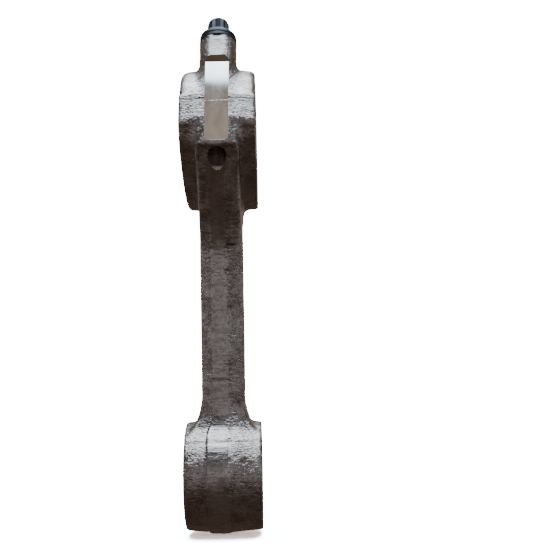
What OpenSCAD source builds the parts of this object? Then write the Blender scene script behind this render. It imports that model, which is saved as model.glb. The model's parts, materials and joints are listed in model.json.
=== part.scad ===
// Connecting rod of a mid-size diesel engine, with a tilted split at the big end.
// The origin is the centre of the big-end bore. X runs along the pins and Z runs up the rod,
// with the small end below the origin and the bearing cap above it.

/* [Rod] */
// Distance between the centres of the big-end bore and the small-end bore
centre_distance = 218; // [190:1:265]
// Width of both ends along the pins
end_width = 48; // [42:1:60]
// Draft angle of the forged outer surfaces
draft_angle = 5; // [3:0.5:7]

/* [Big end] */
// Tilt of the split between rod and cap
split_tilt = 20; // [15:1:28]
// Diameter of the crankpin that the shells run on
crankpin_d = 57; // [46:1:70]
// Thickness of a bearing shell
shell_thickness = 2; // [1.5:0.25:3]
// How far the shells stand in from each side face
shell_inset = 3; // [1:0.5:5]
// Metal between the housing bore and the locating sleeves
sleeve_land = 1.8; // [1:0.1:3]
// Thickness of the cap over the bearing, at its side faces
cap_wall = 18.5; // [14:0.5:24]
// Thickness of the rod under the bearing, at its side faces
saddle_wall = 5; // [4:0.5:9]
// Radius of the arched underside beside the shank
underside_r = 87; // [80:1:110]
// Height of the joint flange above the split
flange_above = 4; // [3:0.5:9]
// Height of the joint flange below the split
flange_below = 15; // [11:0.5:18]
// Height of the bolt seats above the split
seat_height = 52.3; // [46:0.1:60]
// Radius of the round boss that each bolt passes through
boss_r = 12.3; // [11.5:0.1:14.5]
// Depth of the tapped holes, along the bolt, to where they come out below
thread_depth = 36; // [32:1:46]

/* [Milled strips] */
// Width of the milled strip across the split
strip_width = 15; // [12:0.5:18]
// Height of the strip above the split
strip_above = 30.5; // [26:0.5:40]
// Length of the strip below the split
strip_below = 30.5; // [25:0.5:33]

/* [Shank] */
// Width of the shank along the pins
shank_width = 27; // [24:0.5:32]
// Depth of the shank next to the small end
shank_depth_small = 38; // [34:1:45]
// Depth of the shank next to the big end
shank_depth_big = 46; // [42:1:54]
// Thickness of the web between the two side pockets
web_thickness = 8; // [5:0.5:12]
// Thickness of the flanges outside the side pockets
flange_thickness = 8; // [6:0.5:11]

/* [Small end] */
// Diameter of the piston pin that the bush runs on
piston_pin_d = 45; // [36:1:54]
// Wall of the bush
bush_wall = 2.5; // [1.5:0.25:4]
// How far the bush stands in from each side face
bush_inset = 0.5; // [0.25:0.25:3]
// Thickness of the eye round the bush, at its side faces
eye_wall = 9.4; // [7:0.2:14]

/* [Bolts] */
// Thread diameter of the cap bolts
bolt_d = 12; // [10:0.1:14.5]
// How far the waisted part of the bolt lies under its thread
waist_relief = 0.7; // [0.6:0.05:1.5]
// Length of the bolt under its flange
bolt_length = 80; // [72:1:88]
// Length of the threaded end
bolt_thread_length = 30; // [24:1:36]
// Distance across the corners of the twelve-point head
bolt_head_d = 14.7; // [13:0.1:17]
// Height of the twelve-point head above its flange, with the domed end
bolt_head_height = 12.7; // [10:0.1:17]
// Thickness of the bolt's flange
bolt_flange_height = 4.7; // [3:0.1:6]
// Diameter of the bolt's flange
bolt_flange_d = 24.6; // [20:0.2:28]
// Thickness of the washer
washer_thickness = 3.1; // [2:0.1:4]
// Diameter of the washer
washer_d = 24.8; // [20:0.2:28]
// Wall of the locating sleeves
sleeve_wall = 1.05; // [0.8:0.05:1.6]
// Length of the locating sleeves
sleeve_length = 8; // [6:0.5:12]

/* [Clearances] */
// Radial clearance of the bolt's thread in its tapped hole
thread_clearance = 0.05; // [0.02:0.01:0.1]
// Radial clearance of the sleeves in the cap
sleeve_clearance = 0.05; // [0.02:0.01:0.1]
// Radial clearance of the bolts in the sleeves
sleeve_bore_clearance = 0.35; // [0.3:0.05:0.5]
// Radial clearance of the bolts in the cap and washers
bolt_hole_clearance = 0.5; // [0.3:0.05:1]
// Gap between the two joint faces
joint_gap = 0.02; // [0.01:0.01:0.05]

/* [Hidden] */

forged_colour = [0.36, 0.31, 0.29];
black_colour = [0.09, 0.09, 0.10];
bronze_colour = [0.72, 0.52, 0.30];
steel_colour = [0.62, 0.62, 0.62];

round_fn = 96;
arc_steps = 8;

// Big end
shell_r = crankpin_d / 2;
housing_r = shell_r + shell_thickness;
shell_width = end_width - 2 * shell_inset;
sleeve_bore_r = bolt_d / 2 + sleeve_bore_clearance;
sleeve_r = sleeve_bore_r + sleeve_wall;
bolt_offset = housing_r + sleeve_land + sleeve_r;
half_width = end_width / 2;
crown = half_width * tan(draft_angle);
cap_face_r = housing_r + cap_wall;
joint_reach = bolt_offset + boss_r - 0.5;
underside_centre = underside_r - housing_r - saddle_wall;
strip_reach = bolt_offset + sqrt(pow(boss_r, 2) - pow(strip_width / 2, 2));
tang_width = 6;
tang_length = 5;
tang_height = 1.4;
tang_side = shell_width / 2 - tang_width / 2 - 3;
tang_clearance = 0.3;

// The slanted face that the tapped hole comes out of, measured from the split's normal
shoulder_slant = 50;
// How far the shank's own width runs out past the bolts' axes
rib_reach = 6;
// How far past that face the tap runs
tap_runout = 6;
// Radius between that face and the shank, on the side of the upper and the lower bolt
upper_blend_r = 70;
lower_blend_r = 14;

// Small end
pin_r = piston_pin_d / 2;
bush_width = end_width - 2 * bush_inset;
eye_bore_r = pin_r + bush_wall;
eye_face_r = eye_bore_r + eye_wall;
eye_crown_r = eye_face_r + crown;
eye_blend_r = 30;

// Shank
half_small = shank_depth_small / 2;
half_big = shank_depth_big / 2;
pocket_depth = (shank_width - web_thickness) / 2;
pocket_corner_r = 6;
flange_corner_r = 3;
flare_corner_r = 16;
flare_length = 18;
shoulder_corner_r = 8;
fillet_sink = 0.1;

// A point given by its offset from the bore along the split and along the bolts, in the side view.
// A positive offset is on the side of the upper bolt.
function side_point(offset, height) = [
    height * sin(split_tilt) - offset * cos(split_tilt),
    height * cos(split_tilt) + offset * sin(split_tilt)
];

function unit(v) = v / norm(v);
function flat(p) = [p[0], p[1]];

// Points of an arc of radius r that rounds the corner at b between a and c
function corner_arc(a, b, c, r) =
    let (
        to_a = unit(a - b),
        to_c = unit(c - b),
        half = acos(to_a * to_c) / 2,
        centre = b + unit(to_a + to_c) * r / sin(half),
        first = b + to_a * r / tan(half) - centre,
        turn = (to_a[0] * to_c[1] - to_a[1] * to_c[0] > 0 ? -1 : 1) * (180 - 2 * half)
    )
    [for (i = [0:arc_steps])
        let (a_i = turn * i / arc_steps)
        centre + [first[0] * cos(a_i) - first[1] * sin(a_i), first[0] * sin(a_i) + first[1] * cos(a_i)]];

// An outline whose points are [x, y, radius], with each corner rounded by its radius
function rounded(points) =
    let (count = len(points))
    [for (i = [0:count - 1])
        let (p = points[i], before = points[(i + count - 1) % count], after = points[(i + 1) % count])
        each p[2] == 0 ? [flat(p)] : corner_arc(flat(before), flat(p), flat(after), p[2])];

// Half the depth of the shank at height z
function half_depth(z) = half_small + (half_big - half_small) * (z + centre_distance) / centre_distance;

// Turns the split's own frame into the rod's: Y runs away from the upper bolt, Z along the bolts
module split_frame() {
    rotate([-split_tilt, 0, 0]) children();
}

// Places its children at a bolt: side 1 is the upper bolt, side -1 the lower one
module at_bolt(side) {
    split_frame() translate([0, -side * bolt_offset, 0]) children();
}

// Extrudes a side-view outline along the pins
module side_plate(width) {
    rotate([90, 0, 90]) linear_extrude(height = width, center = true) children();
}

// A round bar along the pins
module pin_bar(r, width) {
    rotate([0, 90, 0]) cylinder(r = r, h = width, center = true, $fn = round_fn);
}

// A round body along the pins, larger at its middle by the forging draft
module crowned_drum(face_r) {
    rotate([0, 90, 0]) rotate_extrude($fn = round_fn) polygon([
        [0, -half_width], [face_r, -half_width], [face_r + crown, 0], [face_r, half_width], [0, half_width]
    ]);
}

// Joint flange on both sides of the bore, from height low to height high, with rounded lower corners
module joint_flange(low, high) {
    inner = housing_r + 4;
    for (side = [-1, 1]) split_frame() side_plate(end_width) polygon(rounded([
        [side * inner, high, 0], [side * inner, low, 0],
        [side * joint_reach, low, flange_corner_r], [side * joint_reach, high, 0]
    ]));
}

// Space outside the milled strips, on both sides
module strip_cuts() {
    strip_height = strip_above + strip_below;
    for (side = [-1, 1]) split_frame()
        translate([0, side * (strip_reach + boss_r / 2), (strip_above - strip_below) / 2])
            cube([strip_width, boss_r, strip_height], center = true);
}

// Notch for a shell's tang: above the split for the cap, below it for the rod
module tang_space(side, grow) {
    height = tang_length + grow;
    width = tang_width + 2 * grow;
    split_frame() translate([side * tang_side, -housing_r, side * height / 2])
        cube([width, 2 * (tang_height + grow), height], center = true);
}

// Side view of the shank with the two shoulders that the tapped holes come out of. The shoulders
// run out to reach past the bolts' axes.
module shank_side(reach) {
    edge_height = reach / tan(shoulder_slant) - thread_depth;
    upper_exit = side_point(bolt_offset, -thread_depth);
    upper_edge = side_point(bolt_offset + reach, edge_height);
    lower_exit = side_point(-bolt_offset, -thread_depth);
    lower_edge = side_point(-bolt_offset - reach, edge_height);
    upper_dir = unit(upper_exit - upper_edge);
    lower_dir = unit(lower_exit - lower_edge);
    // Where the two slanted faces meet the shank's own faces
    upper_reach = -upper_exit[0] - half_big + 2;
    upper_z = upper_exit[1] + upper_dir[1] * upper_reach / upper_dir[0];
    lower_z = lower_exit[1] + lower_dir[1] * (half_big - lower_exit[0]) / lower_dir[0];
    // Where the blend to the eye leaves the shank
    blend_out = half_small + eye_blend_r;
    blend_z = -centre_distance + sqrt(pow(eye_crown_r + eye_blend_r, 2) - pow(blend_out, 2));
    eye_angle = atan2(blend_z + centre_distance, blend_out);
    eye_blend = [for (i = [0:arc_steps]) let (a = (1 - i / arc_steps) * eye_angle)
        [blend_out - eye_blend_r * cos(a), blend_z - eye_blend_r * sin(a)]];
    eye_points = len(eye_blend);
    upper_corner = [-half_depth(upper_z), upper_z];
    lower_corner = [half_depth(lower_z), lower_z];
    upper_side = corner_arc(upper_edge, upper_corner, [-half_small, blend_z], upper_blend_r);
    lower_side = corner_arc([half_small, blend_z], lower_corner, lower_edge, lower_blend_r);
    polygon(concat(
        [side_point(bolt_offset + reach, 0), upper_edge],
        upper_side,
        [for (i = [eye_points - 1:-1:0]) [-eye_blend[i][0], eye_blend[i][1]]],
        [[0, -centre_distance - eye_face_r / 2]],
        eye_blend,
        lower_side,
        [lower_edge, side_point(-bolt_offset - reach, 0)]
    ));
}

// Front view of the shank, which widens to the full width at the eye
module shank_front() {
    half = shank_width / 2;
    flare_top = -centre_distance + eye_crown_r + 4;
    flare_low = flare_top - flare_length;
    rotate([90, 0, 0]) linear_extrude(height = 4 * joint_reach, center = true) polygon(rounded([
        [-half, housing_r, 0], [-half, flare_top, flare_corner_r], [-half_width, flare_low, 4],
        [-half_width, -centre_distance, 0], [half_width, -centre_distance, 0],
        [half_width, flare_low, 4], [half, flare_top, flare_corner_r], [half, housing_r, 0]
    ]));
}

// Fillets between the shank's sides and the arched underside of the big end
module shoulder_fillets() {
    r = shoulder_corner_r;
    // The fillets sink a hair into both surfaces that they join
    half = shank_width / 2 - fillet_sink;
    outside = underside_r - fillet_sink;
    inside = underside_r - 2;
    right = [for (i = [0:arc_steps]) let (a = 90 * i / arc_steps)
        [outside + r - r * sin(a), half + r - r * cos(a)]];
    left = [for (i = [0:arc_steps]) let (a = 90 * i / arc_steps)
        [outside + r - r * cos(a), -half - r + r * sin(a)]];
    intersection() {
        side_plate(end_width) shank_side(rib_reach);
        split_frame() translate([0, 0, underside_centre]) rotate([0, 90, 0])
            rotate_extrude($fn = round_fn)
                polygon(concat([[inside, -half - r]], left, right, [[inside, half + r]]));
    }
}

// Side pockets that leave the shank as an I-beam
module shank_pockets() {
    top = -housing_r - saddle_wall - 24;
    low = -centre_distance + eye_crown_r + 16;
    front_top = half_depth(top) - flange_thickness;
    front_low = half_depth(low) - flange_thickness;
    r = pocket_corner_r;
    for (side = [-1, 1]) translate([side * (web_thickness / 2 + pocket_depth), 0, 0])
        side_plate(2 * pocket_depth) polygon(rounded([
            [-front_top, top, r], [-front_low, low, r], [front_low, low, r], [front_top, top, r]
        ]));
}

module rod_body() {
    color(forged_colour) difference() {
        union() {
            intersection() {
                split_frame() translate([0, 0, -joint_reach])
                    cube([end_width, 2 * joint_reach, 2 * joint_reach], center = true);
                split_frame() translate([0, 0, underside_centre]) pin_bar(underside_r, end_width);
            }
            joint_flange(-flange_below, 1);
            intersection() {
                for (side = [-1, 1]) at_bolt(side) translate([0, 0, -2 * thread_depth])
                    cylinder(r = boss_r, h = 2 * thread_depth, $fn = round_fn);
                side_plate(end_width) shank_side(boss_r + 2);
            }
            intersection() {
                side_plate(end_width) shank_side(rib_reach);
                shank_front();
            }
            shoulder_fillets();
            translate([0, 0, -centre_distance]) crowned_drum(eye_face_r);
        }
        split_frame() translate([0, 0, 2 * joint_reach]) cube(4 * joint_reach, center = true);
        shank_pockets();
        strip_cuts();
        pin_bar(housing_r, 2 * end_width);
        translate([0, 0, -centre_distance]) pin_bar(eye_bore_r, 2 * end_width);
        for (side = [-1, 1]) at_bolt(side) {
            translate([0, 0, -thread_depth - tap_runout])
                cylinder(r = bolt_d / 2, h = 2 * thread_depth, $fn = round_fn);
            translate([0, 0, -sleeve_length / 2]) cylinder(r = sleeve_r, h = sleeve_length, $fn = round_fn);
        }
        tang_space(-1, tang_clearance);
    }
}

module bearing_cap() {
    color(forged_colour) difference() {
        union() {
            crowned_drum(cap_face_r);
            joint_flange(-flange_above, flange_above);
            for (side = [-1, 1]) at_bolt(side) cylinder(r = boss_r, h = seat_height, $fn = round_fn);
        }
        split_frame() translate([0, 0, joint_gap - 2 * joint_reach]) cube(4 * joint_reach, center = true);
        strip_cuts();
        pin_bar(housing_r, 2 * end_width);
        for (side = [-1, 1]) at_bolt(side) {
            translate([0, 0, -1])
                cylinder(r = bolt_d / 2 + bolt_hole_clearance, h = 2 * seat_height, $fn = round_fn);
            cylinder(r = sleeve_r + sleeve_clearance, h = sleeve_length / 2 + 0.5, $fn = round_fn);
            translate([0, 0, seat_height]) cylinder(r = boss_r + 6, h = seat_height, $fn = round_fn);
        }
        tang_space(1, tang_clearance);
    }
}

// Half of the plain bearing: side 1 is the cap's half, side -1 the rod's
module bearing_shell(side) {
    gap = side > 0 ? joint_gap : 0;
    color(steel_colour) difference() {
        union() {
            pin_bar(housing_r, shell_width);
            tang_space(side, 0);
        }
        pin_bar(shell_r, 2 * shell_width);
        split_frame() translate([0, 0, side * (gap - 2 * housing_r)]) cube(4 * housing_r, center = true);
    }
}

module bearing_shell_rod() {
    bearing_shell(-1);
}

module bearing_shell_cap() {
    bearing_shell(1);
}

module small_end_bush() {
    color(bronze_colour) translate([0, 0, -centre_distance]) difference() {
        pin_bar(eye_bore_r, bush_width);
        pin_bar(pin_r, 2 * bush_width);
    }
}

module locating_sleeve(side) {
    color(steel_colour) at_bolt(side) difference() {
        translate([0, 0, -sleeve_length / 2]) cylinder(r = sleeve_r, h = sleeve_length, $fn = round_fn);
        translate([0, 0, -sleeve_length]) cylinder(r = sleeve_bore_r, h = 2 * sleeve_length, $fn = round_fn);
    }
}

module locating_sleeve_upper() {
    locating_sleeve(1);
}

module locating_sleeve_lower() {
    locating_sleeve(-1);
}

module bolt_washer(side) {
    color(black_colour) at_bolt(side) translate([0, 0, seat_height]) difference() {
        cylinder(r = washer_d / 2, h = washer_thickness, $fn = round_fn);
        translate([0, 0, -washer_thickness])
            cylinder(r = bolt_d / 2 + bolt_hole_clearance, h = 3 * washer_thickness, $fn = round_fn);
    }
}

module bolt_washer_upper() {
    bolt_washer(1);
}

module bolt_washer_lower() {
    bolt_washer(-1);
}

// Twelve-point flange bolt with a waisted shank
module cap_bolt(side) {
    thread_r = bolt_d / 2 - thread_clearance;
    waist_r = bolt_d / 2 - waist_relief;
    head_r = bolt_head_d / 2;
    dome = 2;
    chamfer = 1.5;
    color(black_colour) at_bolt(side) translate([0, 0, seat_height + washer_thickness]) {
        rotate_extrude($fn = round_fn) polygon([
            [0, -bolt_length], [thread_r - chamfer, -bolt_length], [thread_r, chamfer - bolt_length],
            [thread_r, bolt_thread_length - bolt_length],
            [waist_r, bolt_thread_length - bolt_length + 1],
            [waist_r, 0], [bolt_flange_d / 2, 0], [bolt_flange_d / 2, bolt_flange_height * 0.6],
            [bolt_flange_d / 2 - 1, bolt_flange_height * 0.8], [head_r + 1, bolt_flange_height],
            [0, bolt_flange_height]
        ]);
        translate([0, 0, bolt_flange_height / 2]) intersection() {
            union() for (turn = [0, 30]) rotate([0, 0, turn])
                cylinder(r = head_r, h = bolt_flange_height / 2 + bolt_head_height, $fn = 6);
            rotate_extrude($fn = round_fn) polygon([
                [0, 0], [head_r + 1, 0], [head_r + 1, bolt_head_height + bolt_flange_height / 2 - dome - 1],
                [head_r - dome, bolt_head_height + bolt_flange_height / 2],
                [0, bolt_head_height + bolt_flange_height / 2]
            ]);
        }
    }
}

module cap_bolt_upper() {
    cap_bolt(1);
}

module cap_bolt_lower() {
    cap_bolt(-1);
}

rod_body();
bearing_cap();
bearing_shell_rod();
bearing_shell_cap();
small_end_bush();
locating_sleeve_upper();
locating_sleeve_lower();
bolt_washer_upper();
bolt_washer_lower();
cap_bolt_upper();
cap_bolt_lower();
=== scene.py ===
import json
import math

import bmesh
import bpy
import numpy as np
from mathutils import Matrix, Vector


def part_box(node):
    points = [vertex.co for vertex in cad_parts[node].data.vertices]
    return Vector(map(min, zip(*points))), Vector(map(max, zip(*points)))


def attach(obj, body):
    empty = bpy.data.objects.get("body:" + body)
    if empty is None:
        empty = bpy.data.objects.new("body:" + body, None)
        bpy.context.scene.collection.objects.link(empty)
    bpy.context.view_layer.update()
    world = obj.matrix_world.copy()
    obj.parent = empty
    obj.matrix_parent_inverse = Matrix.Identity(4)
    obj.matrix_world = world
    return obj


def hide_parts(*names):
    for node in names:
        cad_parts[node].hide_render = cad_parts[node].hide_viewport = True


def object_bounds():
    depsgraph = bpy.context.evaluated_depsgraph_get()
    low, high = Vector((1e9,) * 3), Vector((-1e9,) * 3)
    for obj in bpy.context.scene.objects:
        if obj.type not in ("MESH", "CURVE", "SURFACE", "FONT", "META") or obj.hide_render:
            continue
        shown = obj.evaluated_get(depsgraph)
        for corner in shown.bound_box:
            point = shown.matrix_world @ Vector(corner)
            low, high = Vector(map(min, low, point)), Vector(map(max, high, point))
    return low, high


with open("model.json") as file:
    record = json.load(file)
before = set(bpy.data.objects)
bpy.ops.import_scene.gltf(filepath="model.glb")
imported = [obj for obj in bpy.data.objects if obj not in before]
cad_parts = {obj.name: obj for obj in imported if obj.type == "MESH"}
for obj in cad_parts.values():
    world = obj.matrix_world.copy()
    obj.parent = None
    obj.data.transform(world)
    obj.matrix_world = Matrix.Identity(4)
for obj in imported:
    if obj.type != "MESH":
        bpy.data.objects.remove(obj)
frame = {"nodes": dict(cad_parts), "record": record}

import openvdb
from mathutils import Matrix, Vector

CAD_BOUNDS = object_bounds()
MM = 0.001
VOXEL = 0.82
MOUNTS = {mount["name"]: mount for mount in frame["record"]["mounts"]}

# Rod
TILT = math.radians(20)
CENTRES = -MOUNTS["small_end_bore"]["pos_m"][2] / MM
HALF_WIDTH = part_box("rod_body")[1][0] / MM
# metal left on the forging's sides for the machining of the side faces
SIDE_STOCK = 0.9
# the forging is cut off square here, so that its rough skin stays inside the CAD's box
FRONT_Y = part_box("rod_body")[0][1] / MM + 0.3
DRAFT = math.tan(math.radians(5))
SHELL_R = MOUNTS["big_end_bore"]["dims"]["r_mm"]
HOUSING_R = SHELL_R + 2
CAP_FACE_R = HOUSING_R + 18.5
UNDERSIDE_R = 87
SADDLE = HOUSING_R + 5
PIN_R = MOUNTS["small_end_bore"]["dims"]["r_mm"]
BUSH_R = PIN_R + 2.5
BUSH_HALF_WIDTH = MOUNTS["small_end_bore"]["dims"]["length_mm"] / 2
EYE_CROWN_R = BUSH_R + 9.4 + HALF_WIDTH * DRAFT

# Joint, its bolt bosses, and the flanges beside it
JOINT_GAP = 0.02
SLEEVE_R = 7.4
SLEEVE_DEPTH = 4
BOLT_T = HOUSING_R + 1.8 + SLEEVE_R
BOSS_R = 12.3
BOSS_FLAT_T = BOLT_T + BOSS_R - 1.0
SEAT_N = 52.3
FLANGE_T = BOLT_T + BOSS_R - 0.5
FLANGE_TOP = 4
FLANGE_LOW = -13.5
EAR_SLANT = math.radians(50)

# Slanted shoulders that the tapped holes come out of, and the flat land at their outer edge
THREAD_EXIT_N = -36
SHOULDER_SLANT = math.radians(50)
LAND_N = -32.6

# Milled strip: its crest is the height of its highest line, and its crown is in degrees per millimetre
STRIP_T = 48.5
STRIP_HALF_WIDTH = 7.5
STRIP_TOP = 31.6
STRIP_LOW = -30.5
STRIP_CORNER_R = 2.2
STRIP_RUN_OUT = 1.3
STRIP_CREST = 13
STRIP_CROWN = 0.05
LEDGE_SLOPE = 1.45

# Shank: an I-beam that flares in width and swells in depth towards the small end's eye
SHANK_HALF = 13.5
HALF_DEPTH_LOW = 19
HALF_DEPTH_TOP = 23
FLANGE_DEPTH = 8
WEB_HALF = 4
NEAR_SHOULDER_R = 62
FAR_SHOULDER_R = 14
EYE_TOP_Z = -CENTRES + EYE_CROWN_R
FLARE_TOP_Z = -CENTRES + 51
FLARE_R = 39
SWELL_R = 34
# x, z and length of the three small handling dents on the near face
DENTS = [(6.5, -73, 6), (5.0, -89, 4), (8.5, -106.5, 8)]

# Flash band: the trimmed parting line of the forging, wider on the small end
FLASH_X = -1.3
FLASH_HALF = 5
FLASH_WIDER = 3

# Bolts
TAPPED_R = 6.0
TAPPED_CREST_R = 5.35
THREAD_GAP = 0.06
PITCH = 1.25
WASHER_R = 12.4
WASHER_H = 3.1
BOLT_LENGTH = 80
THREAD_LENGTH = 30
WAIST_R = 5.3
BOLT_FLANGE_R = 12.3
BOLT_FLANGE_H = 4.7
HEAD_R = 7.35
HEAD_H = 12.7

# Light: the studio's colour at each elevation in degrees, its back wall's, and the floor's in reflections
STUDIO_STRENGTH = 10
STUDIO = [(-90, (0.004, 0.003, 0.003)), (-4, (0.006, 0.005, 0.005)), (0, (0.04, 0.037, 0.037)),
          (2.5, (0.125, 0.12, 0.123)), (11, (0.125, 0.117, 0.119)), (14.5, (0.012, 0.009, 0.009)),
          (49, (0.006, 0.0043, 0.004)), (53, (0.052, 0.045, 0.039)), (60.1, (0.038, 0.034, 0.031)),
          (60.9, (0.42, 0.55, 0.66)), (66, (0.78, 0.88, 0.97)), (90, (0.84, 0.92, 1.0))]
BACK_WALL = (0.035, 0.027, 0.021)
FLOOR_MIRRORED = (0.12, 0.085, 0.066)


# ---------------------------------------------------------------- shapes as distance fields

def smooth_min(a, b, k):
    """The union of two solids, with a fillet of about k."""
    h = np.maximum(k - np.abs(a - b), 0) / k
    return np.minimum(a, b) - h * h * k / 4


def smooth_max(a, b, k):
    """What two solids share, with its edges rounded by about k."""
    return -smooth_min(-a, -b, k)


def polygon_distance(u, v, points):
    """Signed distance from the points (u, v) to a closed outline, negative inside."""
    best = np.full(np.broadcast(u, v).shape, 1e9, np.float32)
    inside = np.zeros(best.shape, bool)
    for (ax, ay), (bx, by) in zip(points, points[1:] + points[:1]):
        ex, ey = bx - ax, by - ay
        share = np.clip(((u - ax) * ex + (v - ay) * ey) / (ex * ex + ey * ey), 0, 1)
        best = np.minimum(best, (u - ax - share * ex) ** 2 + (v - ay - share * ey) ** 2)
        crosses = (v < ay) != (v < by)
        if ay != by:
            inside ^= crosses & (u < ax + (v - ay) * ex / ey)
    return np.where(inside, -1, 1) * np.sqrt(best)


def lattice_noise(x, y, z, scale, seed):
    """Smooth random values from -1 to 1 that change over about scale millimetres."""
    table = np.random.default_rng(seed).uniform(-1, 1, (32, 32, 32)).astype(np.float32)
    cells, shares = [], []
    for p in (x, y, z):
        q = p / scale + 1000
        cell = np.floor(q)
        share = (q - cell).astype(np.float32)
        cells.append(cell.astype(np.int32))
        shares.append(share * share * (3 - 2 * share))
    total = 0
    for corner in range(8):
        index, weight = [], 1
        for axis in range(3):
            bit = corner >> axis & 1
            index.append((cells[axis] + bit) % 32)
            weight = weight * (shares[axis] if bit else 1 - shares[axis])
        total = total + weight * table[tuple(index)]
    return total


def side_point(t, n):
    """(y, z) of a point given in the big end's own coordinates."""
    return (n * math.sin(TILT) - t * math.cos(TILT), n * math.cos(TILT) + t * math.sin(TILT))


def grid(low, high):
    """Coordinate arrays x, y, z of a box of voxels."""
    counts = [int(math.ceil((b - a) / VOXEL)) + 1 for a, b in zip(low, high)]
    axes = [a + VOXEL * np.arange(c, dtype=np.float32) for a, c in zip(low, counts)]
    return axes[0][:, None, None], axes[1][None, :, None], axes[2][None, None, :]


def skin(name, field, low):
    """A mesh of the surface where field is 0, as quads, in millimetres."""
    volume = openvdb.FloatGrid(3 * VOXEL)
    volume.copyFromArray(np.clip(field, -3 * VOXEL, 3 * VOXEL).astype(np.float32))
    points, quads = volume.convertToQuads()
    mesh = bpy.data.meshes.new(name)
    points = points.astype(float) * VOXEL + np.array(low)
    # the extractor winds its faces inwards
    mesh.from_pydata(points.tolist(), [], quads[:, ::-1].tolist())
    return add_object(name, mesh)


def add_object(name, data):
    obj = bpy.data.objects.new(name, data)
    bpy.context.scene.collection.objects.link(obj)
    return obj


def crowned(radius, x):
    """Radius of a forged round that shrinks by the draft away from the parting plane."""
    return radius - np.abs(x) * DRAFT


def flange_sides(x, t, n):
    """The flat sides of the big end's flanges, which narrow a little downwards and away from the flash."""
    narrowing = np.maximum(np.abs(x) - STRIP_HALF_WIDTH, 0) * DRAFT + (FLANGE_TOP - n) * 0.08
    return np.abs(t) - FLANGE_T - 0.25 + narrowing


def with_flash(field, x, y, z, outline, proud):
    """Adds the sheared flash band along the parting plane, standing proud of the outline there."""
    wander = 0.6 * lattice_noise(x, y, z, 11, 5) + 0.35 * lattice_noise(x, y, z, 3, 6)
    wider = FLASH_WIDER * np.clip((EYE_TOP_Z - z) / 8, 0, 1)
    band = np.abs(x - FLASH_X + wider / 2) - FLASH_HALF - wider / 2 + wander
    ripple = 0.14 * lattice_noise(x * 0.12, y, z, 2.4, 7)
    return np.minimum(field, smooth_max(outline - proud + ripple, band, 0.4))


def forging_skin(field, x, y, z):
    """Shallow dents and scale marks all over a forged surface."""
    field = field + 0.13 * lattice_noise(x, y, z, 8, 1) + 0.10 * lattice_noise(x, y, z, 3.6, 2)
    return field + 0.09 * np.maximum(lattice_noise(x * 0.6, y, z, 2.1, 3), 0)


def shank_outline():
    """Side view of the shank with the shoulders that the tapped holes come out of."""
    reach = 8
    edge_t = BOLT_T + (LAND_N - THREAD_EXIT_N) * math.tan(SHOULDER_SLANT)
    upper_exit = side_point(BOLT_T, THREAD_EXIT_N)
    upper_edge = side_point(edge_t, LAND_N)
    lower_exit = side_point(-BOLT_T, THREAD_EXIT_N)
    lower_edge = side_point(-edge_t, LAND_N)
    slope = (upper_exit[1] - upper_edge[1]) / (upper_exit[0] - upper_edge[0])
    corner_y = -HALF_DEPTH_TOP + 1
    corner_z = upper_exit[1] + slope * (corner_y - upper_exit[0])
    low_slope = (lower_exit[1] - lower_edge[1]) / (lower_exit[0] - lower_edge[0])
    low_z = lower_exit[1] + low_slope * (HALF_DEPTH_TOP - lower_exit[0])
    upper = arc_corner(upper_edge, (corner_y, corner_z), (-HALF_DEPTH_LOW, -CENTRES), NEAR_SHOULDER_R)
    lower = arc_corner((HALF_DEPTH_LOW, -CENTRES), (HALF_DEPTH_TOP, low_z), lower_edge, FAR_SHOULDER_R)
    # at the small end the shank swells out to meet the round eye
    eye_r = EYE_CROWN_R - 1.1
    away = HALF_DEPTH_LOW + SWELL_R
    up = math.sqrt((eye_r + SWELL_R) ** 2 - away ** 2)
    swell = [(away - SWELL_R * math.cos(a), up - CENTRES - SWELL_R * math.sin(a))
             for a in np.linspace(0, math.atan2(up, away), 8)]
    near_swell = [(-py, pz) for py, pz in swell]
    return ([side_point(BOLT_T + reach, 6), side_point(BOLT_T + reach, LAND_N), upper_edge] + upper
            + near_swell + [(-eye_r / 2, -CENTRES), (eye_r / 2, -CENTRES)] + swell[::-1] + lower
            + [lower_edge, side_point(-BOLT_T - reach, LAND_N), side_point(-BOLT_T - reach, 6)])


def arc_corner(a, b, c, radius, steps=10):
    """Points of the arc that rounds the corner b of the path a, b, c."""
    a, b, c = Vector(a), Vector(b), Vector(c)
    to_a, to_c = (a - b).normalized(), (c - b).normalized()
    half = to_a.angle(to_c) / 2
    centre = b + (to_a + to_c).normalized() * radius / math.sin(half)
    first = b + to_a * radius / math.tan(half) - centre
    turn = (math.pi - 2 * half) * (-1 if to_a.x * to_c.y - to_a.y * to_c.x > 0 else 1)
    return [tuple(centre + Matrix.Rotation(turn * i / steps, 2) @ first) for i in range(steps + 1)]


def pocket_outline():
    """Side view of the pocket that makes the shank an I-beam."""
    top, low = -SADDLE - 25, -CENTRES + EYE_CROWN_R + 17
    wide, narrow = HALF_DEPTH_TOP - 1 - FLANGE_DEPTH, HALF_DEPTH_LOW - FLANGE_DEPTH + 0.5
    corners = [(-wide, top), (-narrow, low), (narrow, low), (wide, top)]
    points = []
    for i, corner in enumerate(corners):
        points += arc_corner(corners[i - 1], corner, corners[(i + 1) % 4], 7)
    return points


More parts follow.
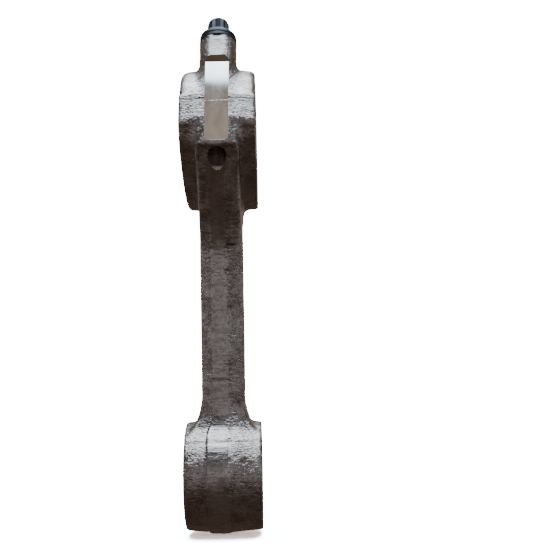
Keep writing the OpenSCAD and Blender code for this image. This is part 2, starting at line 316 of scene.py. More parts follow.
def rod_field(x, y, z):
    """The rod's forging before it is machined."""
    t = z * math.sin(TILT) - y * math.cos(TILT)
    n = z * math.cos(TILT) + y * math.sin(TILT)
    inward = (HALF_WIDTH - np.abs(x)) * DRAFT
    # the big end round the lower half of its bore, with an arched underside
    arch = np.hypot(t, n - (UNDERSIDE_R - SADDLE)) - UNDERSIDE_R
    big_end = smooth_max(smooth_max(arch - inward, flange_sides(x, t, n), 1.6), n - 4, 1)
    under_ear = (np.abs(t) - FLANGE_T) * math.sin(EAR_SLANT) - (n - FLANGE_LOW) * math.cos(EAR_SLANT)
    big_end = smooth_max(smooth_max(big_end, under_ear, 1.2), np.abs(x) - HALF_WIDTH - SIDE_STOCK, 3)
    # rib: the shank with its shoulders, as wide as the shank, then flared to the eye
    side = polygon_distance(y, z, shank_outline())
    turn = math.acos(1 - (HALF_WIDTH - SHANK_HALF) / FLARE_R)
    flare = [(SHANK_HALF + FLARE_R * (1 - math.cos(a)), FLARE_TOP_Z - FLARE_R * math.sin(a))
             for a in np.linspace(0, turn, 12)]
    front_points = [(SHANK_HALF, 30)] + flare + [(HALF_WIDTH, -300)]
    front_points = front_points + [(-px, pz) for px, pz in front_points[::-1]]
    front = polygon_distance(x, z, front_points)
    rib = smooth_max(side + np.abs(x) * DRAFT, front, 3.5)
    # round columns under the bolts, cut off by the slanted shoulders
    columns = None
    for side_sign in (1, -1):
        column = np.hypot(x, t - side_sign * BOLT_T) - BOSS_R - np.clip(-n - 14, 0, 30) * 0.03
        shoulder = ((side_sign * t - BOLT_T) * math.cos(SHOULDER_SLANT)
                    - (n - THREAD_EXIT_N) * math.sin(SHOULDER_SLANT))
        end = np.minimum(shoulder + 0.5, LAND_N - n)
        column = smooth_max(smooth_max(column, end, 1.6), n - 4, 1)
        columns = column if columns is None else np.minimum(columns, column)
    eye = np.hypot(y, z + CENTRES) - crowned(EYE_CROWN_R - 0.5, x)
    eye = smooth_max(eye, np.abs(x) - HALF_WIDTH - SIDE_STOCK, 3)
    body = smooth_min(smooth_min(big_end, rib, 6), columns, 3)
    body = smooth_min(body, eye, 2.5)
    outline = body[np.abs(x[:, 0, 0]).argmin()][None]
    body = with_flash(body, x, y, z, outline, 0.15)
    pocket = polygon_distance(y, z, pocket_outline()) + (SHANK_HALF - np.abs(x)) * 0.14
    body = smooth_max(body, -smooth_max(pocket, WEB_HALF - np.abs(x), 6), 3)
    for dent_x, dent_z, length in DENTS:
        face_y = -HALF_DEPTH_LOW - (HALF_DEPTH_TOP - HALF_DEPTH_LOW) * (dent_z + CENTRES) / CENTRES
        groove = np.hypot(y - face_y + 0.5, z - dent_z + 0.1 * (x - dent_x)) - 1.25
        body = smooth_max(body, -smooth_max(groove, np.abs(x - dent_x) - length / 2, 1), 0.5)
    body = smooth_max(body, FRONT_Y - y, 1)
    return forging_skin(body, x, y, z)


def cap_field(x, y, z):
    """The bearing cap's forging before it is machined."""
    t = z * math.sin(TILT) - y * math.cos(TILT)
    n = z * math.cos(TILT) + y * math.sin(TILT)
    inward = (HALF_WIDTH - np.abs(x)) * DRAFT
    ring = np.hypot(t, n) - CAP_FACE_R - inward
    ragged = 0.7 * lattice_noise(x, y, z, 2.6, 8)
    ears = smooth_max(flange_sides(x, t, n), n - FLANGE_TOP + ragged, 1.2)
    ears = smooth_max(ears, np.abs(x) - HALF_WIDTH - SIDE_STOCK, 3)
    ring = smooth_min(smooth_max(ring, np.abs(x) - HALF_WIDTH - SIDE_STOCK, 6), ears, 2.2)
    bosses = None
    for side_sign in (1, -1):
        boss = np.hypot(x, t - side_sign * BOLT_T) - BOSS_R
        boss = smooth_max(boss, n - SEAT_N - 3, 1)
        boss = smooth_max(boss, side_sign * t - BOSS_FLAT_T, 0.6)
        bosses = boss if bosses is None else np.minimum(bosses, boss)
    body = smooth_min(ring, bosses, 5)
    outline = body[np.abs(x[:, 0, 0]).argmin()][None]
    body = with_flash(body, x, y, z, smooth_max(outline, n - SEAT_N + 18, 1), 0.1)
    body = smooth_max(body, -n - 4, 1)
    return forging_skin(body, x, y, z)


# ---------------------------------------------------------------- machining

def revolve(name, profile, segments=96):
    """A solid from (radius, height) points: a loop makes a ring, and ends on the z axis make a bar."""
    bm = bmesh.new()
    rings = []
    for radius, height in profile:
        if radius == 0:
            rings.append([bm.verts.new((0, 0, height))])
            continue
        rings.append([bm.verts.new((radius * math.cos(a), radius * math.sin(a), height))
                      for a in (2 * math.pi * i / segments for i in range(segments))])
    if len(rings[0]) > 1:
        rings.append(rings[0])
    join_rings(bm, rings)
    return finish_mesh(bm, name)


def join_rings(bm, rings):
    """Faces between rings of vertices; a ring of one vertex is a pole."""
    for low, high in zip(rings, rings[1:]):
        count = max(len(low), len(high))
        for i in range(count):
            j = (i + 1) % count
            corners = [low[i % len(low)], low[j % len(low)], high[j % len(high)], high[i % len(high)]]
            corners = [v for k, v in enumerate(corners) if v not in corners[:k]]
            if len(corners) > 2:
                bm.faces.new(corners)


def finish_mesh(bm, name):
    bmesh.ops.recalc_face_normals(bm, faces=bm.faces)
    mesh = bpy.data.meshes.new(name)
    bm.to_mesh(mesh)
    bm.free()
    return add_object(name, mesh)


def prism(name, outline, levels, place):
    """A solid between copies of an outline at two levels w; place turns (u, v, w) into a point."""
    bm = bmesh.new()
    rings = [[bm.verts.new(place(u, v, w)) for u, v in outline] for w in levels]
    bm.faces.new(rings[0][::-1])
    bm.faces.new(rings[1])
    join_rings(bm, rings)
    return finish_mesh(bm, name)


def pin_axis(obj, z=0):
    """Turns a solid of revolution's axis onto the pins' axis."""
    obj.data.transform(Matrix.Translation((0, 0, z)) @ Matrix.Rotation(math.pi / 2, 4, "Y"))
    return obj


def bolt_axis(obj, side):
    """Stands a solid of revolution on the joint plane, on a bolt's axis."""
    obj.data.transform(Matrix.Rotation(-TILT, 4, "X") @ Matrix.Translation((0, -side * BOLT_T, 0)))
    return obj


def bore_cutter(name, radius, z, chamfer):
    """A bore right through, chamfered at both side faces."""
    far = HALF_WIDTH + 4
    profile = [(0, -far), (radius + chamfer + 4, -far), (radius, chamfer - HALF_WIDTH),
               (radius, HALF_WIDTH - chamfer), (radius + chamfer + 4, far), (0, far)]
    return pin_axis(revolve(name, profile, 160), z)


def thread_radius(turns, n, minor, major):
    """Radius of a right-hand thread at a fraction of a turn round its axis and at height n."""
    across = abs(2 * ((n / PITCH - turns) % 1) - 1)
    return minor + (major - minor) * min(max(1.35 * across - 0.1, 0), 1)


def tap_cutter(name, low, high):
    """The tapped hole, thread and all."""
    segments, per_turn = 48, 8
    bm = bmesh.new()
    rings = [[bm.verts.new((0, 0, low))]]
    for k in range(int(round((high - low) / PITCH * per_turn)) + 1):
        n = low + k * PITCH / per_turn
        ring = []
        for i in range(segments):
            radius = thread_radius(i / segments, n, TAPPED_CREST_R, TAPPED_R)
            angle = 2 * math.pi * i / segments
            ring.append(bm.verts.new((radius * math.cos(angle), radius * math.sin(angle), n)))
        rings.append(ring)
    rings.append([bm.verts.new((0, 0, high))])
    join_rings(bm, rings)
    return finish_mesh(bm, name)


def strip_depth(n):
    """How far below its highest line the milled strip lies: it is slightly crowned and runs out below."""
    run_out = 0.05 * max(STRIP_LOW + STRIP_RUN_OUT - n, 0) ** 2
    return 0.5 * math.radians(STRIP_CROWN) * (n - STRIP_CREST) ** 2 - run_out


def strip_cutter(name, side):
    """Clears the milled strip: a slot with rounded lower corners and a slanted upper ledge."""
    ledge, steps = 9, 40
    bm = bmesh.new()
    rings = []
    for i in range(steps + 1):
        n = STRIP_LOW + (STRIP_TOP - STRIP_LOW) * (i / steps) ** 1.4
        below_centre = max(STRIP_CORNER_R - n + STRIP_LOW, 0)
        inset = STRIP_CORNER_R - math.sqrt(max(STRIP_CORNER_R ** 2 - below_centre ** 2, 0))
        half = STRIP_HALF_WIDTH - inset
        rise = LEDGE_SLOPE * ledge if i == steps else 0
        floor_t, top_t = STRIP_T - strip_depth(n), STRIP_T + ledge
        corners = [(-half, floor_t, n), (half, floor_t, n), (half, top_t, n + rise), (-half, top_t, n + rise)]
        rings.append([bm.verts.new((u, *side_point(side * t, v))) for u, t, v in corners])
    bm.faces.new(rings[0][::-1])
    bm.faces.new(rings[-1])
    join_rings(bm, rings)
    return finish_mesh(bm, name)


def block(name, half_width, ends, levels, place):
    """A block with its end faces split down the middle: the Boolean would close a hole within one face."""
    outline = [(u, v) for v in ends for u in (-half_width, 0, half_width)]
    outline = outline[:3] + outline[:2:-1]
    bm = bmesh.new()
    rings = [[bm.verts.new(place(u, v, w)) for u, v in outline] for w in levels]
    for ring in rings:
        bm.faces.new([ring[i] for i in (0, 1, 4, 5)])
        bm.faces.new([ring[i] for i in (1, 2, 3, 4)])
    join_rings(bm, rings)
    return finish_mesh(bm, name)


def half_space(name, n, above):
    """A big block above or below height n of the joint."""
    size = 90
    top = n + size if above else n - size
    return block(name, size, (-size, size), (n, top), lambda u, v, w: (u, *side_point(v, w)))


def side_block(name, side):
    """Everything outside one of the two machined side faces."""
    levels = (side * HALF_WIDTH, side * (HALF_WIDTH + 10))
    return block(name, 90, (-300, 120), levels, lambda u, v, w: (w, u, v))


def tang_cutter(name, side):
    """Notch for a bearing shell's tang."""
    centre, half, height = side * 15, 3.3, side * 5.3
    left, right = centre - half, centre + half
    outline = [(left, 0), (right, 0), (right, height), (left, height)]
    return prism(name, outline, (HOUSING_R - 2, HOUSING_R + 1.7), lambda u, v, w: (u, *side_point(w, v)))


def cut(target, cutter, material):
    """Takes cutter out of target, and gives the fresh surface its material."""
    cutter.data.materials.clear()
    cutter.data.materials.append(material)
    modifier = target.modifiers.new("cut", "BOOLEAN")
    modifier.operation = "DIFFERENCE"
    modifier.solver = "MANIFOLD"
    modifier.material_mode = "TRANSFER"
    modifier.object = cutter
    mesh = bpy.data.meshes.new_from_object(target.evaluated_get(bpy.context.evaluated_depsgraph_get()))
    target.modifiers.clear()
    target.data = mesh
    bpy.data.objects.remove(cutter)


def to_metres(obj, sharp_degrees=32):
    """The last step for every piece: metres, and smooth shading with crisp machined edges."""
    mesh = obj.data
    mesh.transform(Matrix.Scale(MM, 4))
    mesh.shade_smooth()
    mesh.set_sharp_from_angle(angle=math.radians(sharp_degrees))
    flat = mesh.materials.find("ground_steel")
    for face in mesh.polygons:
        face.use_smooth = face.material_index != flat
    # where one surface finish meets another there is an edge, however flat the angle
    finishes = {}
    for face in mesh.polygons:
        for key in face.edge_keys:
            finishes.setdefault(key, set()).add(face.material_index)
    for edge in mesh.edges:
        if len(finishes.get(edge.key, ())) > 1:
            edge.use_edge_sharp = True
    return obj


# ---------------------------------------------------------------- materials

class Finish:
    """A Principled material under construction, with short calls for the nodes it needs."""

    def __init__(self, name, roughness, metallic=1.0):
        self.material = bpy.data.materials.new(name)
        self.material.use_nodes = True
        self.tree = self.material.node_tree
        self.shader = self.tree.nodes["Principled BSDF"]
        self.shader.inputs["Metallic"].default_value = metallic
        self.shader.inputs["Roughness"].default_value = roughness
        self.place = self.tree.nodes.new("ShaderNodeTexCoord").outputs["Object"]

    def link(self, value, socket):
        if isinstance(value, (int, float)):
            socket.default_value = value
        else:
            self.tree.links.new(value, socket)

    def maths(self, operation, a, b=0.0, clamp=False):
        node = self.tree.nodes.new("ShaderNodeMath")
        node.operation = operation
        node.use_clamp = clamp
        self.link(a, node.inputs[0])
        self.link(b, node.inputs[1])
        return node.outputs[0]

    def along(self, direction):
        """Distance in metres along a direction of the rod's frame."""
        node = self.tree.nodes.new("ShaderNodeVectorMath")
        node.operation = "DOT_PRODUCT"
        self.tree.links.new(self.place, node.inputs[0])
        node.inputs[1].default_value = direction
        return node.outputs["Value"]

    def noise(self, size_mm, stretch=(1, 1, 1), detail=3.0, distortion=0.0, tilted=False):
        """Noise from 0 to 1 with features of about size_mm, longer along x, y or z by stretch."""
        mapping = self.tree.nodes.new("ShaderNodeMapping")
        self.tree.links.new(self.place, mapping.inputs["Vector"])
        if tilted:
            mapping.inputs["Rotation"].default_value = (TILT, 0, 0)
        mapping.inputs["Scale"].default_value = [1 / (size_mm * MM * k) for k in stretch]
        node = self.tree.nodes.new("ShaderNodeTexNoise")
        self.tree.links.new(mapping.outputs["Vector"], node.inputs["Vector"])
        node.inputs["Scale"].default_value = 1
        node.inputs["Detail"].default_value = detail
        node.inputs["Distortion"].default_value = distortion
        return node.outputs["Fac"]

    def spread(self, value, low, high, to_low=0.0, to_high=1.0):
        """Maps low..high of a value to to_low..to_high, without going past them."""
        node = self.tree.nodes.new("ShaderNodeMapRange")
        self.link(value, node.inputs["Value"])
        for name, number in (("From Min", low), ("From Max", high), ("To Min", to_low), ("To Max", to_high)):
            node.inputs[name].default_value = number
        return node.outputs["Result"]

    def blend(self, share, a, b):
        """Mixes two colours, or two values, by share."""
        node = self.tree.nodes.new("ShaderNodeMix")
        colours = isinstance(a, tuple) or getattr(a, "type", "") == "RGBA"
        node.data_type = "RGBA" if colours else "FLOAT"
        first, second, result = (6, 7, 2) if colours else (2, 3, 0)
        self.link(share, node.inputs[0])
        for value, socket in ((a, node.inputs[first]), (b, node.inputs[second])):
            if isinstance(value, tuple):
                socket.default_value = (*value, 1)
            else:
                self.link(value, socket)
        return node.outputs[result]

    def joint_line(self):
        """1 along the dirty hairline between rod and cap, 0 elsewhere, with gaps and a slight wander."""
        wander = self.maths("MULTIPLY", self.maths("SUBTRACT", self.noise(2.5), 0.5), 0.9 * MM)
        n = self.maths("ABSOLUTE", self.maths("ADD", self.along((0, math.sin(TILT), math.cos(TILT))), wander))
        line = self.spread(n, 0.06 * MM, 0.22 * MM, 1, 0)
        return self.maths("MULTIPLY", line, self.spread(self.noise(6), 0.42, 0.54))

    def bump(self, height, depth_mm, strength=1.0):
        node = self.tree.nodes.new("ShaderNodeBump")
        node.inputs["Distance"].default_value = depth_mm * MM
        node.inputs["Strength"].default_value = strength
        self.link(height, node.inputs["Height"])
        self.tree.links.new(node.outputs["Normal"], self.shader.inputs["Normal"])

    def done(self, colour, roughness=None):
        self.link(colour, self.shader.inputs["Base Color"])
        if roughness is not None:
            self.link(roughness, self.shader.inputs["Roughness"])
        return self.material


def forged_finish():
    """Forged and peened steel: crinkled scale, brown tarnish, and the smoother trimmed flash band."""
    f = Finish("forged_steel", 0.36)
    crinkle = f.noise(2.1, (1.9, 1, 0.9), 1.6, 1.9)
    pits = f.noise(0.9, (1, 1, 1), 1)
    patches = f.noise(9, (1, 1, 1.3), 4)
    clouds = f.noise(34, (1, 1, 1), 2)
    # the flash band: where the surface faces fore or aft, near the parting plane
    wander = f.maths("MULTIPLY", f.maths("SUBTRACT", f.noise(7), 0.5), 2.4 * MM)
    wider = f.spread(f.along((0, 0, 1)), (EYE_TOP_Z - 8) * MM, EYE_TOP_Z * MM, FLASH_WIDER / 2 * MM, 0)
    centre = f.maths("SUBTRACT", FLASH_X * MM, wider)
    off_band = f.maths("ABSOLUTE", f.maths("SUBTRACT", f.along((1, 0, 0)), centre))
    off_band = f.maths("ADD", f.maths("SUBTRACT", off_band, wider), wander)
    band = f.spread(off_band, (FLASH_HALF - 0.4) * MM, (FLASH_HALF + 0.4) * MM, 1, 0)
    shear_marks = f.noise(1.0, (12, 1, 0.8), 2, 0.3)
    rough_height = f.maths("ADD", f.maths("MULTIPLY", crinkle, 1.2), f.maths("MULTIPLY", pits, 0.4))
    band_height = f.maths("ADD", f.maths("MULTIPLY", shear_marks, 0.55), 0.45)
    f.bump(f.blend(f.maths("MULTIPLY", band, 0.65), rough_height, band_height), 0.36)
    metal = f.blend(f.spread(patches, 0.36, 0.64), (0.22, 0.2, 0.194), (0.37, 0.355, 0.352))
    metal = f.blend(f.spread(clouds, 0.45, 0.7, 0, 0.35), metal, (0.27, 0.225, 0.205))
    hollows = f.spread(crinkle, 0.32, 0.5, 0.55, 0)
    metal = f.blend(hollows, metal, (0.11, 0.095, 0.088))
    metal = f.blend(f.maths("MULTIPLY", band, 0.5), metal, (0.31, 0.295, 0.29))
    metal = f.blend(f.joint_line(), metal, (0.015, 0.012, 0.01))
    grain = f.maths("ADD", f.spread(patches, 0.3, 0.7, 0.22, 0.32), f.maths("MULTIPLY", pits, 0.08))
    return f.done(metal, grain)


def milled_finish():
    """The milled strips: fine streaks across, a faint brown film and a few scratches."""
    f = Finish("milled_steel", 0.3)
    streaks = f.noise(0.22, (1, 30, 30), 3)
    film = f.noise(7, (1, 1, 1.6), 4)
    scratches = f.noise(1.1, (1, 9, 9), 2, 0.8)
    metal = f.blend(f.spread(film, 0.35, 0.65), (0.56, 0.53, 0.5), (0.66, 0.64, 0.62))
    metal = f.blend(f.spread(scratches, 0.66, 0.72, 0, 0.5), metal, (0.86, 0.85, 0.83))
    burr = f.joint_line()
    metal = f.blend(burr, metal, (0.9, 0.88, 0.86))
    f.bump(f.maths("ADD", streaks, f.maths("MULTIPLY", burr, 8)), 0.0006)
    return f.done(metal, f.spread(film, 0.3, 0.7, 0.045, 0.075))


def bored_finish():
    """Turned bores: fine rings round the pins' axis."""
    f = Finish("bored_steel", 0.28)
    rings = f.noise(0.18, (1, 300, 300), 2)
    stain = f.noise(12, (1, 1, 1), 3)
    metal = f.blend(f.spread(stain, 0.35, 0.7), (0.58, 0.56, 0.54), (0.44, 0.4, 0.36))
    f.bump(rings, 0.015)
    return f.done(metal, f.spread(rings, 0.3, 0.7, 0.22, 0.34))


def ground_finish():
    """Ground side faces and joint faces: a fine straight grain with a light brown film."""
    f = Finish("ground_steel", 0.3)
    grain = f.noise(0.2, (20, 26, 1), 3, tilted=True)
    film = f.noise(16, (1, 1, 1), 4)
    spots = f.noise(2.2, (1, 1, 1), 2)
    metal = f.blend(f.spread(film, 0.35, 0.68), (0.6, 0.575, 0.55), (0.47, 0.4, 0.34))
    metal = f.blend(f.spread(spots, 0.68, 0.76, 0, 0.6), metal, (0.26, 0.2, 0.16))
    f.bump(grain, 0.012)
    return f.done(metal, f.spread(grain, 0.3, 0.7, 0.24, 0.38))


def tapped_finish():
    """The tapped holes: dark, oily thread."""
    f = Finish("tapped_steel", 0.3)
    oil = f.noise(1.6, (1, 1, 1), 3)
    metal = f.blend(f.spread(oil, 0.35, 0.65), (0.17, 0.145, 0.135), (0.25, 0.22, 0.205))
    f.bump(f.noise(0.3, (1, 1, 1), 2), 0.01)
    return f.done(metal, f.spread(oil, 0.35, 0.65, 0.28, 0.46))


def black_finish():
    """Black oxide on the bolts and washers, with a bluish bloom and rubbed patches."""
    f = Finish("black_oxide", 0.34)
    bloom = f.noise(5, (1, 1, 1), 4)
    rub = f.noise(1.4, (1, 1, 1), 5)
    skin_colour = f.blend(f.spread(bloom, 0.35, 0.65), (0.032, 0.035, 0.042), (0.052, 0.057, 0.067))
    skin_colour = f.blend(f.spread(rub, 0.6, 0.72, 0, 0.6), skin_colour, (0.11, 0.115, 0.125))
    f.bump(f.noise(0.35, (1, 1, 1), 3), 0.02)
    return f.done(skin_colour, f.spread(rub, 0.3, 0.7, 0.36, 0.5))


def bronze_finish():
    """The piston-pin bush: bored bronze."""
    f = Finish("bronze", 0.27)
    rings = f.noise(0.2, (1, 200, 200), 2)
    tarnish = f.noise(8, (1, 1, 1), 4)
    metal = f.blend(f.spread(tarnish, 0.35, 0.7), (0.72, 0.47, 0.24), (0.5, 0.3, 0.15))
    f.bump(rings, 0.015)
    return f.done(metal, f.spread(rings, 0.3, 0.7, 0.2, 0.34))


def bearing_finish():
    """The half shells: fine-bored grey bearing metal."""
    f = Finish("bearing_metal", 0.36)
    rings = f.noise(0.16, (1, 300, 300), 2)
    film = f.noise(10, (1, 1, 1), 3)
    metal = f.blend(f.spread(film, 0.35, 0.65), (0.5, 0.5, 0.49), (0.62, 0.62, 0.61))
    f.bump(rings, 0.01)
    return f.done(metal, f.spread(rings, 0.3, 0.7, 0.3, 0.42))


FORGED = forged_finish()
MILLED = milled_finish()
BORED = bored_finish()
GROUND = ground_finish()
TAPPED = tapped_finish()
BLACK = black_finish()
BRONZE = bronze_finish()
BEARING = bearing_finish()


# ---------------------------------------------------------------- pieces

def stands_for(piece, node, body):
    """Puts a finished piece in the place of a CAD node."""
    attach(piece, body)
    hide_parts(node)


def make_rod():
    corner, far_corner = (-HALF_WIDTH - 4, -64, -CENTRES - 42), (HALF_WIDTH + 4, 56, 26)
    x, y, z = grid(corner, far_corner)
    rod = skin("rod", rod_field(x, y, z), corner)
    rod.data.materials.append(FORGED)
    cut(rod, half_space("joint", 0, True), GROUND)
    cut(rod, bore_cutter("housing", HOUSING_R, 0, 0.8), BORED)
    cut(rod, bore_cutter("eye", BUSH_R, -CENTRES, 1.0), BORED)
    cut(rod, tang_cutter("tang", -1), GROUND)
    for side in (1, -1):
        cut(rod, side_block("face", side), GROUND)
        cut(rod, strip_cutter("strip", side), MILLED)
        sink_n = THREAD_EXIT_N - 4.5
        sink_low = sink_n - 12
        sink = [(0, sink_low), (TAPPED_R + 7, sink_low), (TAPPED_R - 0.2, sink_n), (0, sink_n)]
        cut(rod, bolt_axis(revolve("countersink", sink, 64), side), BORED)
        cut(rod, bolt_axis(tap_cutter("tap", THREAD_EXIT_N - 8, 2), side), TAPPED)
        sleeve = [(0, -SLEEVE_DEPTH), (SLEEVE_R, -SLEEVE_DEPTH), (SLEEVE_R, 2), (0, 2)]
        cut(rod, bolt_axis(revolve("sleeve", sleeve, 64), side), BORED)
    stands_for(to_metres(rod), "rod_body", "rod")


def make_cap():
    corner, far_corner = (-HALF_WIDTH - 4, -64, -30), (HALF_WIDTH + 4, 76, 76)
    x, y, z = grid(corner, far_corner)
    cap = skin("cap", cap_field(x, y, z), corner)
    cap.data.materials.append(FORGED)
    cut(cap, half_space("joint", JOINT_GAP, False), GROUND)
    cut(cap, bore_cutter("housing", HOUSING_R, 0, 0.8), BORED)
    cut(cap, tang_cutter("tang", 1), GROUND)
    for side in (1, -1):
        cut(cap, side_block("face", side), GROUND)
        cut(cap, strip_cutter("strip", side), MILLED)
        hole_r, sleeve_r, seat_r = TAPPED_R + 0.5, SLEEVE_R + 0.05, BOSS_R + 7.7
        for name, radius, low, high, finish in (("hole", hole_r, -5, 70, BORED),
                                                ("sleeve", sleeve_r, -5, SLEEVE_DEPTH + 0.5, BORED),
                                                ("seat", seat_r, SEAT_N, 80, GROUND)):
            profile = [(0, low), (radius, low), (radius, high), (0, high)]
            cut(cap, bolt_axis(revolve(name, profile, 64), side), finish)
    stands_for(to_metres(cap), "bearing_cap", "cap")


def twelve_point(turns):
    """Radius of the twelve-point head: two hexagons laid across each other."""
    hexagons = []
    for start in (0, 1 / 12):
        across = ((turns + start) * 6 % 1 - 0.5) / 6
        hexagons.append(HEAD_R * math.cos(math.pi / 6) / math.cos(2 * math.pi * across))
    return max(hexagons)


def bolt_section(n, turns):
    """The bolt's radius at height n along its axis."""
    base = SEAT_N + WASHER_H
    end = base - BOLT_LENGTH
    rise = n - base
    if rise > 0:
        head = twelve_point(turns)
        crown = HEAD_R - 0.24 * max(rise - BOLT_FLANGE_H - HEAD_H + 2.7, 0) ** 2
        return min(head + 0.9 * max(BOLT_FLANGE_H + 0.8 - rise, 0) ** 2, crown)
    thread_top = end + THREAD_LENGTH
    thread = thread_radius(turns, n, TAPPED_CREST_R - THREAD_GAP, TAPPED_R - THREAD_GAP)
    if n < thread_top:
        fade = min((thread_top - n) / 1.5, 1)
        return min(WAIST_R + (thread - WAIST_R) * fade, 4.3 + (n - end))
    return WAIST_R + 0.35 * max(rise + 1.6, 0) ** 2


def make_bolt(name, side):
    """Twelve-point flange bolt, one closed mesh from its chamfered end to its dished head."""
    segments = 96
    base = SEAT_N + WASHER_H
    end = base - BOLT_LENGTH
    top = base + BOLT_FLANGE_H + HEAD_H
    heights = [end + PITCH / 8 * k for k in range(int(THREAD_LENGTH / PITCH * 8) + 1)]
    heights += [base - 20, base - 2, base - 1.2, base - 0.6, base - 0.2, base - 0.001]
    rings = [[(bolt_section(n, i / segments), n) for i in range(segments)] for n in heights]
    rim = [(BOLT_FLANGE_R - 0.9, 0), (BOLT_FLANGE_R - 0.25, 0.12), (BOLT_FLANGE_R, 0.5), (BOLT_FLANGE_R, 2.5),
           (BOLT_FLANGE_R - 0.18, 2.95), (BOLT_FLANGE_R - 0.6, 3.25), (10.6, 3.75), (HEAD_R + 1.6, 4.25)]
    rings += [[(radius, base + rise)] * segments for radius, rise in rim]
    head_rises = (-0.1, 0.2, 0.5, 0.8, 4, 8, 9.2, 10, 10.7, 11.3, 11.9, 12.4)
    head_heights = [base + BOLT_FLANGE_H + rise for rise in head_rises]
    rings += [[(bolt_section(n, i / segments), n) for i in range(segments)] for n in head_heights]
    rings += [[(radius, top + rise)] * segments for radius, rise in ((5.2, 0), (3.6, -0.05), (3.1, -0.5))]
    bm = bmesh.new()
    loops = [[bm.verts.new((0, 0, end))]]
    for ring in rings:
        loops.append([bm.verts.new((radius * math.cos(2 * math.pi * i / segments),
                                    radius * math.sin(2 * math.pi * i / segments), n))
                      for i, (radius, n) in enumerate(ring)])
    loops.append([bm.verts.new((0, 0, top - 0.9))])
    join_rings(bm, loops)
    bolt = bolt_axis(finish_mesh(bm, name), side)
    bolt.data.materials.append(BLACK)
    return to_metres(bolt, 28)


def make_washer(name, side):
    inner, low, high = TAPPED_R + 0.5, SEAT_N, SEAT_N + WASHER_H
    profile = [(inner, low + 0.4), (inner + 0.4, low), (WASHER_R - 0.5, low), (WASHER_R, low + 0.5),
               (WASHER_R, high - 0.5), (WASHER_R - 0.5, high), (inner + 0.4, high), (inner, high - 0.4)]
    washer = bolt_axis(revolve(name, profile, 128), side)
    washer.data.materials.append(BLACK)
    return to_metres(washer)


def make_bush():
    w, inner, outer = BUSH_HALF_WIDTH, PIN_R, BUSH_R
    profile = [(inner, 0.8 - w), (inner + 0.8, -w), (outer - 0.5, -w), (outer, 0.5 - w),
               (outer, w - 0.5), (outer - 0.5, w), (inner + 0.8, w), (inner, w - 0.8)]
    bush = pin_axis(revolve("bush", profile, 160), -CENTRES)
    bush.data.materials.append(BRONZE)
    return to_metres(bush)


make_rod()
make_cap()
for which, bolt_side in (("upper", 1), ("lower", -1)):
    stands_for(make_bolt(f"bolt_{which}", bolt_side), f"cap_bolt_{which}", f"bolt_{which}")
    washer = make_washer(f"washer_{which}", bolt_side)
    stands_for(washer, f"bolt_washer_{which}", f"washer_{which}")
stands_for(make_bush(), "small_end_bush", "rod")
for node_name, finish in (("bearing_shell_rod", BEARING), ("bearing_shell_cap", BEARING),
                          ("locating_sleeve_upper", GROUND), ("locating_sleeve_lower", GROUND)):
    frame["nodes"][node_name].data.materials.clear()
    frame["nodes"][node_name].data.materials.append(finish)


# ---------------------------------------------------------------- camera, floor and light

def add_camera():
    """Stands near the small end's height, a little to the right, looking slightly up the rod."""
    data = bpy.data.cameras.new("camera")
    data.sensor_width = 36
    data.lens = 900 / 550 * 36
    camera = add_object("camera", data)
    yaw, pitch, roll = math.radians(-0.26), math.radians(8.2), math.radians(1.2)
    forward = Vector((-math.sin(yaw) * math.cos(pitch), math.cos(yaw) * math.cos(pitch), math.sin(pitch)))
    right = forward.cross(Vector((0, 0, 1))).normalized()
    up = right.cross(forward)
    right, up = right * math.cos(roll) - up * math.sin(roll), up * math.cos(roll) + right * math.sin(roll)
    matrix = Matrix((right, up, -forward)).transposed().to_4x4()
    matrix.translation = Vector((32, -590.8, -174)) * MM
    camera.matrix_world = matrix
    bpy.context.scene.camera = camera


def node_shader(tree, kind, colour, strength=None):
    node = tree.nodes.new(kind)
    node.inputs["Color"].default_value = (*colour, 1)
    if strength is not None:
        node.inputs["Strength"].default_value = strength
    return node.outputs[0]


def seen_or_mirrored(tree, mirrored, seen):
    """What the camera sees directly, and what lights the object and shows in its reflections."""
    mix = tree.nodes.new("ShaderNodeMixShader")
    path = tree.nodes.new("ShaderNodeLightPath")
    tree.links.new(path.outputs["Is Camera Ray"], mix.inputs[0])
    tree.links.new(mirrored, mix.inputs[1])
    tree.links.new(seen, mix.inputs[2])
    return mix.outputs[0]


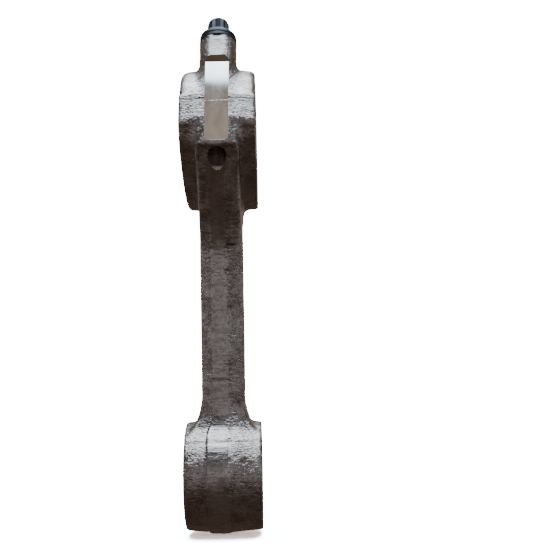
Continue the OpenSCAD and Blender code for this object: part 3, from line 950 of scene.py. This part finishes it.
def add_floor():
    """A pale floor, whose own reflection in the rod is kept dark."""
    bm = bmesh.new()
    bmesh.ops.create_grid(bm, x_segments=1, y_segments=1, size=30)
    floor = finish_mesh(bm, "floor")
    floor.location.z = CAD_BOUNDS[0][2] - 0.0002
    material = bpy.data.materials.new("floor")
    material.use_nodes = True
    tree = material.node_tree
    tree.nodes.clear()
    output = tree.nodes.new("ShaderNodeOutputMaterial")
    dark = node_shader(tree, "ShaderNodeEmission", FLOOR_MIRRORED)
    pale = node_shader(tree, "ShaderNodeBsdfDiffuse", (12, 12, 12))
    tree.links.new(seen_or_mirrored(tree, dark, pale), output.inputs["Surface"])
    floor.data.materials.append(material)


def add_world():
    """A studio bright overhead, nearly black halfway up, dim grey at eye level and brown at the back."""
    world = bpy.data.worlds.new("world")
    bpy.context.scene.world = world
    world.use_nodes = True
    tree = world.node_tree
    tree.nodes.clear()
    output = tree.nodes.new("ShaderNodeOutputWorld")
    direction = tree.nodes.new("ShaderNodeTexCoord").outputs["Generated"]
    height = tree.nodes.new("ShaderNodeSeparateXYZ")
    tree.links.new(direction, height.inputs[0])
    share = tree.nodes.new("ShaderNodeMapRange")
    tree.links.new(height.outputs["Z"], share.inputs["Value"])
    share.inputs["From Min"].default_value = -1
    by_height = tree.nodes.new("ShaderNodeValToRGB")
    tree.links.new(share.outputs["Result"], by_height.inputs["Fac"])
    ramp = by_height.color_ramp
    while len(ramp.elements) > 1:
        ramp.elements.remove(ramp.elements[-1])
    for i, (elevation, colour) in enumerate(STUDIO):
        position = (math.sin(math.radians(elevation)) + 1) / 2
        stop = ramp.elements[0] if i == 0 else ramp.elements.new(position)
        stop.position = position
        stop.color = (*colour, 1)
    behind = tree.nodes.new("ShaderNodeMapRange")
    tree.links.new(height.outputs["Y"], behind.inputs["Value"])
    behind.inputs["From Min"].default_value = 0.35
    behind.inputs["From Max"].default_value = 0.6
    room = tree.nodes.new("ShaderNodeMix")
    room.data_type = "RGBA"
    tree.links.new(behind.outputs["Result"], room.inputs[0])
    tree.links.new(by_height.outputs["Color"], room.inputs[6])
    room.inputs[7].default_value = (*BACK_WALL, 1)
    studio = tree.nodes.new("ShaderNodeBackground")
    tree.links.new(room.outputs[2], studio.inputs["Color"])
    studio.inputs["Strength"].default_value = STUDIO_STRENGTH
    white = node_shader(tree, "ShaderNodeBackground", (1, 1, 1), 22)
    tree.links.new(seen_or_mirrored(tree, studio.outputs[0], white), output.inputs["Surface"])


add_camera()
add_floor()
add_world()
